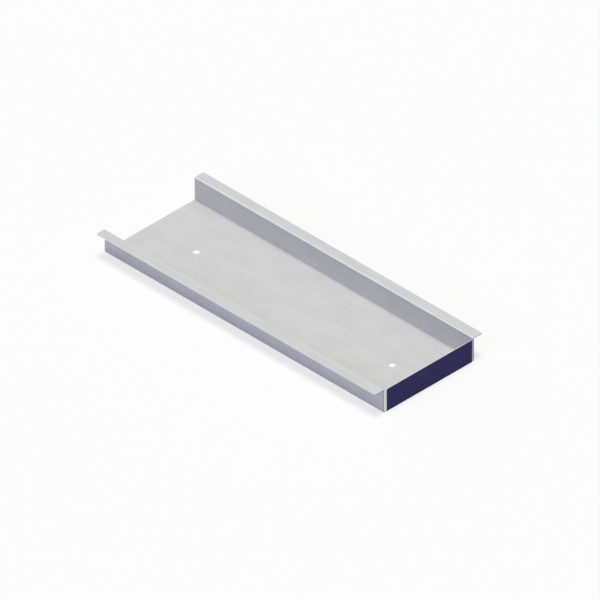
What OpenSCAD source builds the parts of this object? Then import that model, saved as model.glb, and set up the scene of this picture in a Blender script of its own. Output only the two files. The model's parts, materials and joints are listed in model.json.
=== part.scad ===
// Slot cover bracket: a shallow tray folded from one flat sheet of steel.
//
// The blank is cut to its outline, punched with two fixing holes and folded along five straight
// bend lines. The floor turns up into two side walls and one end wall, and each side wall turns
// out at its top into a flange. The other end stays open. The end wall is narrower than the
// channel, so its two corners stay open and the sheet needs no relief cut there.
//
// Millimetres. +X runs along the length to the end wall, Y across it, +Z up from the floor.
// The origin is the middle of the underside of the whole part.

/* [Sheet] */
// Thickness of the sheet
sheet_t = 0.6; // [0.5:0.1:1.5]
// Inside radius of every bend
bend_r = 0.4; // [0.2:0.1:2]

/* [Channel] */
// Length of the channel, from the open end to the bend line of the end wall
channel_len = 370; // [150:1:500]
// Width over the outer faces of the two side walls
channel_w = 120; // [60:1:200]
// Height from the underside of the floor to the top of the flanges
channel_h = 26; // [12:0.5:60]

/* [Flanges] */
// Reach of a flange past the outer face of its side wall
flange_reach = 11.2; // [6:0.1:30]
// Radius of the free corners of the flanges and of the end wall
corner_r = 1.5; // [0.2:0.1:4]

/* [End wall] */
// Open gap between a side edge of the end wall and the side wall beside it
end_gap = 2.7; // [0.5:0.1:10]

/* [Fixing holes] */
// Diameter of the two round holes in the floor
hole_d = 6.4; // [3:0.1:10]
// Distance from the open end to the centre of the first hole
hole_to_open_end = 61.5; // [10:0.5:70]
// Distance from the outer face of the end wall to the centre of the second hole
hole_to_end_wall = 49.5; // [10:0.5:70]

/* [Hidden] */
$fn = 64;

// Outside radius of a bend, which is also how far the end wall stands past its bend line
bend_outer_r = bend_r + sheet_t;
overall_len = channel_len + bend_outer_r;

half_w = channel_w / 2;
flange_edge_y = half_w + flange_reach;
end_wall_w = channel_w - 2 * (sheet_t + end_gap);

// How far a cutting solid passes the face that it cuts
past = 1;
// How far the end wall's own strip of floor runs back into the channel's floor, to join it
floor_lap = 10;

sheet_grey = "#d0d0ce";
end_navy = "#302e50";

// Section of a bend: a quarter of a ring, from the angle a to a + 90 degrees about its centre
module bend_section(a) {
    rotate(a) intersection() {
        difference() {
            circle(r = bend_outer_r);
            circle(r = bend_r);
        }
        square(bend_outer_r + past);
    }
}

// One side of the channel in section, from the floor's bend up the wall and out along the flange
module side_section() {
    translate([half_w - bend_outer_r, bend_outer_r]) bend_section(-90);
    translate([half_w - sheet_t, bend_outer_r])
        square([sheet_t, channel_h - 2 * bend_outer_r]);
    translate([half_w + bend_r, channel_h - bend_outer_r]) bend_section(90);
    translate([half_w + bend_r, channel_h - sheet_t])
        square([flange_reach - bend_r, sheet_t]);
}

// Whole section of the channel: the floor between its two sides
module channel_section() {
    translate([-half_w + bend_outer_r, 0])
        square([channel_w - 2 * bend_outer_r, sheet_t]);
    side_section();
    mirror([1, 0]) side_section();
}

// Section of the end wall: the end of the floor, its bend, then the wall, level with the flanges
module end_wall_section() {
    translate([-floor_lap, 0]) square([floor_lap, sheet_t]);
    translate([0, bend_outer_r]) bend_section(-90);
    translate([bend_r, bend_outer_r]) square([sheet_t, channel_h - bend_outer_r]);
}

// What is cut away to round the corner of a plate that fills +X +Y from the origin
module corner_waste() {
    difference() {
        translate([-past, -past]) square(corner_r + past);
        translate([corner_r, corner_r]) circle(r = corner_r);
    }
}

// The four free corners of the flanges, cut straight down through them
module flange_corner_cuts() {
    for (side = [0, 1]) mirror([0, side, 0]) translate([0, -flange_edge_y, channel_h / 2]) {
        translate([-channel_len, 0, 0]) linear_extrude(channel_h) corner_waste();
        mirror([1, 0, 0]) linear_extrude(channel_h) corner_waste();
    }
}

// The two free corners at the top of the end wall, cut straight through it along X
module end_wall_corner_cuts() {
    for (side = [0, 1]) mirror([0, side, 0])
        translate([-past, -end_wall_w / 2, channel_h])
            rotate([90, 0, 90]) mirror([0, 1])
                linear_extrude(bend_outer_r + 2 * past) corner_waste();
}

// The two round holes on the floor's centreline
module fixing_holes() {
    for (x = [hole_to_open_end - channel_len, bend_outer_r - hole_to_end_wall])
        translate([x, 0, -past]) cylinder(d = hole_d, h = sheet_t + 2 * past);
}

// Floor, side walls and flanges: one section carried along the length, then cut
module channel() {
    difference() {
        rotate([90, 0, -90]) linear_extrude(channel_len) channel_section();
        flange_corner_cuts();
        fixing_holes();
    }
}

// End wall: one section carried across the width, then cut
module end_wall() {
    difference() {
        rotate([90, 0, 0]) linear_extrude(end_wall_w, center = true) end_wall_section();
        end_wall_corner_cuts();
    }
}

// The folded sheet, with dark blue where its end wall is. The modules above measure X from the
// bend line of the end wall, and this one moves the middle of the part to the origin.
module slot_cover_bracket() {
    translate([overall_len / 2 - bend_outer_r, 0, 0]) {
        color(sheet_grey) channel();
        color(end_navy) end_wall();
    }
}

slot_cover_bracket();
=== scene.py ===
import json
import math

import bpy
import numpy as np
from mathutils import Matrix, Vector


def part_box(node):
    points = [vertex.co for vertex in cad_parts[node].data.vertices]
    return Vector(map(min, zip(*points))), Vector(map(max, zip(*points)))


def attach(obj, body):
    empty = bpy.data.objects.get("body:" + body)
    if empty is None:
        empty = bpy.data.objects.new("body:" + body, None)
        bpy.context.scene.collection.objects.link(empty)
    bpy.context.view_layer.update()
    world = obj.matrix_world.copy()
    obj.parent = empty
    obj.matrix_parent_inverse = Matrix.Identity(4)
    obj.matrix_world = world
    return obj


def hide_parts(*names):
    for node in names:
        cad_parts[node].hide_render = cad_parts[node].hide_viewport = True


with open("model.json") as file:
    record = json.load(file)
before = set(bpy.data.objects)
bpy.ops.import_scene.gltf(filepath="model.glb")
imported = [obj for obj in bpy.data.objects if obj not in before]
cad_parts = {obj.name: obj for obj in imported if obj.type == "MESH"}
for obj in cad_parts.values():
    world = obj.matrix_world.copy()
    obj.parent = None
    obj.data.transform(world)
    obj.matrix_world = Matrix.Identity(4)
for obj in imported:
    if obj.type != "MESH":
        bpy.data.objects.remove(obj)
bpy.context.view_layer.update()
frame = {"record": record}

# ---------------------------------------------------------------------------------------------
# The folded sheet
#
# The whole bracket is one piece of thin zinc-plated steel. Its blank is sheared to its outline,
# punched with two holes and tumbled, which rounds its cut edges slightly, and it is then folded
# along five straight lines on a press brake.
# ---------------------------------------------------------------------------------------------

NODE = "slot_cover_bracket"
MM = 0.001

sheet_t = 0.6 * MM
bend_inside_r = 0.4 * MM
flange_reach = 11.2 * MM
end_wall_gap = 2.7 * MM
corner_r = 1.5 * MM
edge_r = 0.1 * MM

low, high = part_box(NODE)
bend_outside_r = bend_inside_r + sheet_t
bend_middle_r = bend_inside_r + sheet_t / 2
bend_line_u = high.x - bend_outside_r
wall_y = high.y - flange_reach
tab_v = wall_y - sheet_t - end_wall_gap

fixing = next(mount for mount in frame["record"]["mounts"] if mount["name"] == "floor_holes")
hole_r = fixing["dims"]["hole_r_mm"] * MM
hole_spacing = fixing["dims"]["spacing_x_mm"] * MM
hole_us = [fixing["pos_m"][0] + side * hole_spacing / 2 for side in (-1, 1)]

# Each leg of a strip is its length along the middle of the sheet, and the angle that it turns
quarter = math.pi / 2
bend_length = quarter * bend_middle_r
side_legs = [
    (wall_y - bend_outside_r, 0),
    (bend_length, quarter),
    (high.z - 2 * bend_outside_r, 0),
    (bend_length, -quarter),
    (flange_reach - bend_inside_r, 0),
]
tab_legs = [(bend_length, quarter), (high.z - bend_outside_r, 0)]

# Where the legs end, out from the middle line and out from the bend line
side_vs = np.cumsum([length for length, turn in side_legs])
flange_v = side_vs[-1]
tab_u = bend_line_u + sum(length for length, turn in tab_legs)

# The rounded corners on one side of the middle line: which end each faces, and its place
free_corners = ((-1, low.x, flange_v), (1, bend_line_u, flange_v), (1, tab_u, tab_v))

# The sheet is made here as the real one is. A flat grid in blank coordinates, u along the length
# and v across it, loses its waste cells, and every point is then carried to its folded place.
BEND_STEPS = 8
CORNER_STEPS = 6
RIM_STEPS = 3
# The square of floor round a hole has this many grid lines from its middle to its side, and the
# hole takes up those in its inner half
PATCH_STEPS = 12
patch_half = 2 * hole_r

# Shorter than any length here that matters, to divide by in place of nought
NEAR_NOUGHT = 1e-9


def steps(start, end, count):
    """Evenly spaced grid lines, both ends included."""
    return np.linspace(start, end, count + 1)


def blank(inset):
    """The flat grid, with its outline drawn in and its holes opened up by inset. The lines crowd
    together at the bends, corners and holes, and always come in the same number."""
    corner = (corner_r - inset) * steps(0, 1, CORNER_STEPS)
    us = np.concatenate([
        low.x + corner_r - corner[::-1],
        *(hole_u + steps(-patch_half, patch_half, 2 * PATCH_STEPS) for hole_u in hole_us),
        bend_line_u - corner_r + corner,
        bend_line_u + steps(0, bend_length, BEND_STEPS)[1:],
        tab_u - corner_r + corner,
    ])
    half_vs = np.concatenate([
        steps(0, patch_half, PATCH_STEPS)[1:],
        tab_v - corner_r + corner,
        steps(side_vs[0], side_vs[1], BEND_STEPS),
        steps(side_vs[2], side_vs[3], BEND_STEPS),
        flange_v - corner_r + corner,
    ])
    vs = np.concatenate([-half_vs[::-1], [0], half_vs])
    return np.stack(np.meshgrid(us, vs, indexing="ij"), -1)


def unit(arrows):
    """Each arrow at length 1, or as good as nought where it has no length."""
    return arrows / np.maximum(np.linalg.norm(arrows, axis=-1, keepdims=True), NEAR_NOUGHT)


def trim(grid, inset):
    """Round the grid's corners and holes. At a corner, the point (s, t) of the unit square goes to
    (s sqrt(1 - t t / 2), t sqrt(1 - s s / 2)) on the quarter disc, which leaves the inner sides
    alone. Round a hole, the nested squares of its patch become rings: the patch's own outline
    stays, the square half its size goes to the hole's circle, and those between are blended."""
    u, v = grid[..., 0], np.abs(grid[..., 1])
    moved_u, moved_v = u.copy(), v.copy()
    radius = corner_r - inset
    for side, corner_u, corner_v in free_corners:
        s = np.clip((side * (u - corner_u) + corner_r) / radius, 0, 1)
        t = np.clip((v - corner_v + corner_r) / radius, 0, 1)
        moved_u += side * radius * s * (np.sqrt(1 - t * t / 2) - 1)
        moved_v += radius * t * (np.sqrt(1 - s * s / 2) - 1)
    grid = np.stack([moved_u, np.sign(grid[..., 1]) * moved_v], -1)
    for hole_u in hole_us:
        arm = grid - (hole_u, 0)
        square = np.abs(arm).max(-1, keepdims=True) / patch_half
        on_circle = (hole_r + inset) * unit(arm)
        on_outline = arm / np.maximum(square, NEAR_NOUGHT)
        out = np.clip(2 * square - 1, 0, 1)
        ring = on_circle * (1 - out) + on_outline * out
        grid = np.where(square < 1, ring + (hole_u, 0), grid)
    return grid


def walk(distance, legs):
    """Follow a strip from its start: a straight leg goes on along the heading, and a turning leg
    runs round an arc whose radius is its length over its turn. Gives how far out and how far up
    each distance has come, and its heading."""
    out, up, heading = np.zeros((3,) + distance.shape)
    begun = turned = 0.0
    for length, turn in legs:
        run = np.clip(distance - begun, 0, length)
        if turn:
            now = turned + run * turn / length
            out += length / turn * (np.sin(now) - math.sin(turned))
            up += length / turn * (math.cos(turned) - np.cos(now))
            heading += now - turned
        else:
            out += run * math.cos(turned)
            up += run * math.sin(turned)
        begun += length
        turned += turn
    return out, up, heading


def fold(flat):
    """Carry blank points (u, v) to the middle of the folded sheet. Gives each place, and the unit
    directions along u, across v and out of the upper face there. No point is bent both ways, so
    the rises of the two folds add up."""
    u, v = flat[..., 0], flat[..., 1]
    side = np.where(v < 0, -1, 1)
    out_v, up_v, turn_v = walk(np.abs(v), side_legs)
    out_u, up_u, turn_u = walk(u - bend_line_u, tab_legs)
    nought = np.zeros_like(u)
    rise = sheet_t / 2 + up_v + up_u
    place = np.stack([np.minimum(u, bend_line_u) + out_u, side * out_v, rise], -1)
    along = np.stack([np.cos(turn_u), nought, np.sin(turn_u)], -1)
    across = np.stack([nought, np.cos(turn_v), side * np.sin(turn_v)], -1)
    return place, along, across, np.cross(along, across)


# The cells that stay: all but the holes and the waste on either side of the end wall's tab
lines = blank(edge_r)
centre = (lines[1:, 1:] + lines[:-1, :-1]) / 2
in_hole = np.any([np.abs(centre - (hole_u, 0)).max(-1) < patch_half / 2 for hole_u in hole_us], axis=0)
waste = (centre[..., 0] > bend_line_u - edge_r) & (np.abs(centre[..., 1]) > tab_v - edge_r)
number = np.arange(lines[..., 0].size).reshape(lines.shape[:2])
cells = np.stack([number[:-1, :-1], number[1:, :-1], number[1:, 1:], number[:-1, 1:]], -1)
cells = cells[~(in_hole | waste)]

# The cut edges are the sides of cells that no other cell shares
sides = np.stack([cells, np.roll(cells, -1, axis=1)], -1).reshape(-1, 2)
keys = sides[:, 0] * number.size + sides[:, 1]
cut_sides = sides[~np.isin(keys, sides[:, 1] * number.size + sides[:, 0])]

# The skins use the points of the cells that stay, and the rim those of the cut edges
skin = np.unique(cells)
border = np.unique(cut_sides)
cells = np.searchsorted(skin, cells)
cut_starts = np.searchsorted(border, cut_sides[:, 0])
cut_ends = np.searchsorted(border, cut_sides[:, 1])


def sheet_rows():
    """The sheet from its upper skin over its cut edge to its lower skin, where two quarter arcs
    round the edge. Each row gives which grid points it has, how far they lie inside the outline,
    their height over the middle of the sheet, and the angle at which the surface looks up from
    the plane of the sheet."""
    half = sheet_t / 2
    arc_height = half - edge_r
    yield skin, edge_r, half, quarter
    for angle in steps(quarter, 0, RIM_STEPS)[1:]:
        yield border, edge_r * (1 - math.cos(angle)), arc_height + edge_r * math.sin(angle), angle
    for angle in steps(0, -quarter, RIM_STEPS)[:-1]:
        yield border, edge_r * (1 - math.cos(angle)), edge_r * math.sin(angle) - arc_height, angle
    yield skin, edge_r, -half, -quarter


def rubbed_or_highlit(flat, height):
    """1 on the outer face of a bend, burnished there by the press brake and given a painted highlight.
    """
    u, v = flat[:, 0], np.abs(flat[:, 1])
    side_up = (v > side_vs[0]) & (v < side_vs[1])
    end_up = (u > bend_line_u) & (u < bend_line_u + bend_length)
    side_out = (v > side_vs[2]) & (v < side_vs[3])
    return (side_up | end_up if height < 0 else side_out).astype(float)


# Out of the sheet in its own plane, which is the way that the outline moves as its inset shrinks
outward = unit(trim(blank(0), 0) - trim(blank(edge_r), edge_r)).reshape(-1, 2)
points, normals, flats, rubbed_and_highlit = [], [], [], []
for chosen, inset, height, angle in sheet_rows():
    flat = trim(blank(inset), inset).reshape(-1, 2)[chosen]
    place, along, across, up = fold(flat)
    cut_face = outward[chosen, :1] * along + outward[chosen, 1:] * across
    points.append(place + height * up)
    normals.append(math.cos(angle) * cut_face + math.sin(angle) * up)
    flats.append(np.column_stack([flat, np.full(len(flat), height)]))
    # Cut edges all take the brighter tone, partly worn and partly a painted highlight
    rubbed_and_highlit.append(rubbed_or_highlit(flat, height) if chosen is skin else np.ones(len(flat)))

# Each skin is all the cells, and the rim joins the borders of the two through the rows between
starts = np.cumsum([0] + [len(row) for row in points])
lower_start = starts[-2]
skin_border = np.searchsorted(skin, border)
edge_rows = [start + np.arange(len(border)) for start in starts[1:-2]]
rim_rows = [skin_border] + edge_rows + [lower_start + skin_border]
quads = [cells, lower_start + cells[:, ::-1]]
for above, below in zip(rim_rows, rim_rows[1:]):
    quads.append(np.stack([above[cut_ends], above[cut_starts], below[cut_starts], below[cut_ends]], -1))
quads = np.concatenate(quads)
points, normals, flats, rubbed_and_highlit = map(np.concatenate, (points, normals, flats, rubbed_and_highlit))

mesh = bpy.data.meshes.new("folded_sheet")
mesh.from_pydata(points, [], quads)
mesh.polygons.foreach_set("use_smooth", np.ones(len(quads), bool))
mesh.normals_split_custom_set_from_vertices(normals)
mesh.attributes.new("blank", "FLOAT_VECTOR", "POINT").data.foreach_set("vector", flats.ravel())
# Where the sheet is brighter: worn bends and edges, partly painted highlight
mesh.attributes.new("rubbed_and_highlit", "FLOAT", "POINT").data.foreach_set("value", rubbed_and_highlit)
mesh.validate()
sheet = bpy.data.objects.new("folded_sheet", mesh)
bpy.context.scene.collection.objects.link(sheet)


class Wire:
    """An output in a material's nodes. Sums, differences and products add Math nodes."""

    def __init__(self, tree, socket=None):
        self.tree, self.socket = tree, socket

    def node(self, kind, settings=(), inputs=(), output=0):
        """Add a node: first its settings, then the value or wire of each named or numbered input."""
        made = self.tree.nodes.new(kind)
        for name, value in dict(settings).items():
            setattr(made, name, value)
        for name, value in dict(inputs).items():
            if isinstance(value, Wire):
                self.tree.links.new(value.socket, made.inputs[name])
            else:
                made.inputs[name].default_value = value
        return Wire(self.tree, made.outputs[output] if made.outputs else None)

    def maths(self, operation, *values):
        return self.node("ShaderNodeMath", {"operation": operation}, enumerate(values))

    def __add__(self, other):
        return self.maths("ADD", self, other)

    __radd__ = __add__

    def __sub__(self, other):
        return self.maths("SUBTRACT", self, other)

    def __rsub__(self, other):
        return self.maths("SUBTRACT", other, self)

    def __mul__(self, other):
        return self.maths("MULTIPLY", self, other)

    __rmul__ = __mul__


def mixed(share, first, second):
    """From the first colour to the second as the share goes from 0 to 1. A Mix node takes colours
    in its inputs 6 and 7 and gives one at its output 2."""
    return share.node("ShaderNodeMix", {"data_type": "RGBA"}, {0: share, 6: first, 7: second}, output=2)


def cleared(owner):
    """Clear away the nodes of a material or world, and give a wire to make its own ones with."""
    owner.use_nodes = True
    owner.node_tree.nodes.clear()
    return Wire(owner.node_tree)


def streaks(wire, place, stretch, detail=3.0):
    """Noise between 0 and 1 on the blank, with that many waves per metre along u, v and height."""
    scaled = wire.node("ShaderNodeVectorMath", {"operation": "MULTIPLY"}, {0: place, 1: stretch})
    return wire.node("ShaderNodeTexNoise", {"noise_dimensions": "3D"},
                     {"Vector": scaled, "Scale": 1.0, "Detail": detail, "Roughness": 0.55})


# Zinc plate over cold-rolled steel: pale satin grey, with the mill's grain along the sheet and
# faint clouds where the bath took unevenly. It is brighter round the outside of the bends and along
# the tumbled edges, partly burnished there and partly a painted highlight on those rounded edges.
# The shares say how much the clouds, the mill's rolling bands and its grain sway the brightness.
ZINC_DULL = (0.53, 0.53, 0.54, 1)
ZINC = (0.71, 0.71, 0.72, 1)
ZINC_RUBBED_HIGHLIGHT = (0.82, 0.82, 0.84, 1)
cloud_share, rolling_share, grain_share = 0.5, 0.45, 1.1
metal_showing = 0.2
satin_roughness = 0.65
relief_strength = 0.35
grain_depth = 0.02 * MM
steel = bpy.data.materials.new("zinc_plated_steel")
wire = cleared(steel)
on_blank = wire.node("ShaderNodeAttribute", {"attribute_name": "blank"}, output="Vector")
rub_and_highlight = wire.node("ShaderNodeAttribute", {"attribute_name": "rubbed_and_highlit"}, output="Fac")
grain = streaks(wire, on_blank, (12, 2500, 900))
rolling = streaks(wire, on_blank, (2, 160, 400))
clouds = streaks(wire, on_blank, (30, 45, 400), 2.0)
brightness = (0.5 + cloud_share * (clouds - 0.5) + rolling_share * (rolling - 0.5)
              + grain_share * (grain - 0.5))
# Bends and edges go to the brighter tone, part wear and part painted highlight
tone = mixed(rub_and_highlight, mixed(brightness, ZINC_DULL, ZINC), ZINC_RUBBED_HIGHLIGHT)
roughness = satin_roughness - 0.2 * (brightness - 0.5) - 0.1 * rub_and_highlight
relief = wire.node("ShaderNodeBump", {}, {
    "Strength": relief_strength, "Distance": grain_depth, "Height": grain})
shader = wire.node("ShaderNodeBsdfPrincipled", {}, {
    "Base Color": tone, "Metallic": metal_showing, "Roughness": roughness, "Normal": relief})
wire.node("ShaderNodeOutputMaterial", {}, {"Surface": shader})

# Painted shade: the end wall's outer face and the cut edges beside it, which look to +X, take a dull
# dark navy that stands for that side lying in shade, with a faint orange-peel texture
NAVY = (0.014, 0.012, 0.085, 1)
NAVY_SHADE_LIGHT = (0.034, 0.032, 0.145, 1)
cloud_share, peel_share = 1.2, 1.2
navy_gloss = 0.12
navy_roughness = 0.45
peel_depth = 0.03 * MM
navy = bpy.data.materials.new("navy_painted_shade")
wire = cleared(navy)
on_blank = wire.node("ShaderNodeAttribute", {"attribute_name": "blank"}, output="Vector")
peel = streaks(wire, on_blank, (900, 900, 900), 2.0)
clouds = streaks(wire, on_blank, (50, 50, 400), 2.0)
brightness = 0.5 + cloud_share * (clouds - 0.5) + peel_share * (peel - 0.5)
relief = wire.node("ShaderNodeBump", {}, {
    "Strength": relief_strength, "Distance": peel_depth, "Height": peel})
shader = wire.node("ShaderNodeBsdfPrincipled", {}, {
    "Base Color": mixed(brightness, NAVY, NAVY_SHADE_LIGHT), "Roughness": navy_roughness + 0.1 * clouds,
    "Specular IOR Level": navy_gloss, "Normal": relief})
wire.node("ShaderNodeOutputMaterial", {}, {"Surface": shader})

# The painted navy shade covers what is near the end wall and looks to +X, where at least this much
# of a face's normal lies along it
looks_out = 0.7
mesh.materials.append(steel)
mesh.materials.append(navy)
# Painted shade goes on the faces that look to +X near the end wall
faces_shaded_side = normals[quads].mean(1)[:, 0] > looks_out
near_end = points[quads].mean(1)[:, 0] > bend_line_u - corner_r
mesh.polygons.foreach_set("material_index", (faces_shaded_side & near_end).astype(np.int32))

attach(sheet, "root")
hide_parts(NODE)

# ---------------------------------------------------------------------------------------------
# The studio
#
# A plain white floor, a soft lamp straight overhead, a weaker one in front and a pale sky. The
# camera has parallel rays and looks from a corner of the bracket's box, at the same slope to all
# three axes.
# ---------------------------------------------------------------------------------------------

FLOOR_WHITE = (0.995, 0.995, 0.995, 1)
FLOOR_BOUNCE = (0.78, 0.77, 0.9, 1)
# How much of the shadow on the floor is kept
shadow_share = 0.3
floor_half = 6.0
# The floor lies a hair under the sheet, so that the two faces never share a plane
floor_gap = 0.05 * MM
floor_corners = [(x * floor_half, y * floor_half, low.z - floor_gap)
                 for x, y in ((-1, -1), (1, -1), (1, 1), (-1, 1))]
floor_mesh = bpy.data.meshes.new("studio_floor")
floor_mesh.from_pydata(floor_corners, [], [(0, 1, 2, 3)])
floor = bpy.data.objects.new("studio_floor", floor_mesh)
bpy.context.scene.collection.objects.link(floor)


def seen_or_mirrored(wire):
    """1 for rays from the camera and rays that metal or glass passes on, 0 for light's own."""
    camera_ray, glossy_ray, transmission_ray = [
        wire.node("ShaderNodeLightPath", output=f"Is {kind} Ray")
        for kind in ("Camera", "Glossy", "Transmission")]
    return wire.maths("MAXIMUM", wire.maths("MAXIMUM", camera_ray, glossy_ray), transmission_ray)


paper = bpy.data.materials.new("white_floor")
wire = cleared(paper)
seen = seen_or_mirrored(wire)
lit = wire.node("ShaderNodeBsdfDiffuse", {}, {"Color": mixed(seen, FLOOR_BOUNCE, FLOOR_WHITE)})
glow = wire.node("ShaderNodeEmission", {}, {"Color": FLOOR_WHITE, "Strength": 1.0})
shader = wire.node("ShaderNodeMixShader", {}, {0: seen * (1 - shadow_share), 1: lit, 2: glow})
wire.node("ShaderNodeOutputMaterial", {}, {"Surface": shader})
floor_mesh.materials.append(paper)

SKY = (0.93, 0.92, 1.2, 1)
SKY_SEEN = (0.995, 0.995, 0.995, 1)
sky_level = 0.23
sky = bpy.data.worlds.new("studio_sky")
bpy.context.scene.world = sky
wire = cleared(sky)
seen = seen_or_mirrored(wire)
shader = wire.node("ShaderNodeBackground", {}, {
    "Color": mixed(seen, SKY, SKY_SEEN), "Strength": sky_level + (1 - sky_level) * seen})
wire.node("ShaderNodeOutputWorld", {}, {"Surface": shader})

# Each lamp is far off: its share of a full level, its spread in degrees, how far it leans from
# overhead to the -Y side, and its colour
lamps = (("overhead_lamp", 0.66, 20, 0, (1.0, 1.0, 0.88)),
         ("front_lamp", 0.12, 30, 60, (0.95, 0.94, 1.24)))
for name, share, spread, lean, colour in lamps:
    lamp_data = bpy.data.lights.new(name, "SUN")
    lamp_data.energy = share * math.pi
    lamp_data.angle = math.radians(spread)
    lamp_data.color = colour
    lamp = bpy.data.objects.new(name, lamp_data)
    lamp.rotation_euler = (math.radians(lean), 0, 0)
    bpy.context.scene.collection.objects.link(lamp)

# The camera's view is this many bracket lengths across. It looks at the middle of the channel,
# which leaves the end wall out, moved by this share of the bracket's width to the far side.
view_lengths = 1.5175
aim_share = 0.1
camera_distance = 2.0
towards_camera = Vector((1, -1, 1)).normalized()
aim = Vector((-bend_outside_r / 2, aim_share * (high.y - low.y), 0))
camera_data = bpy.data.cameras.new("camera")
camera_data.type = "ORTHO"
camera_data.ortho_scale = view_lengths * (high.x - low.x)
camera = bpy.data.objects.new("camera", camera_data)
camera.location = aim + camera_distance * towards_camera
camera.rotation_euler = towards_camera.to_track_quat("Z", "Y").to_euler()
bpy.context.scene.collection.objects.link(camera)
bpy.context.scene.camera = camera
bpy.context.scene.view_settings.view_transform = "Standard"
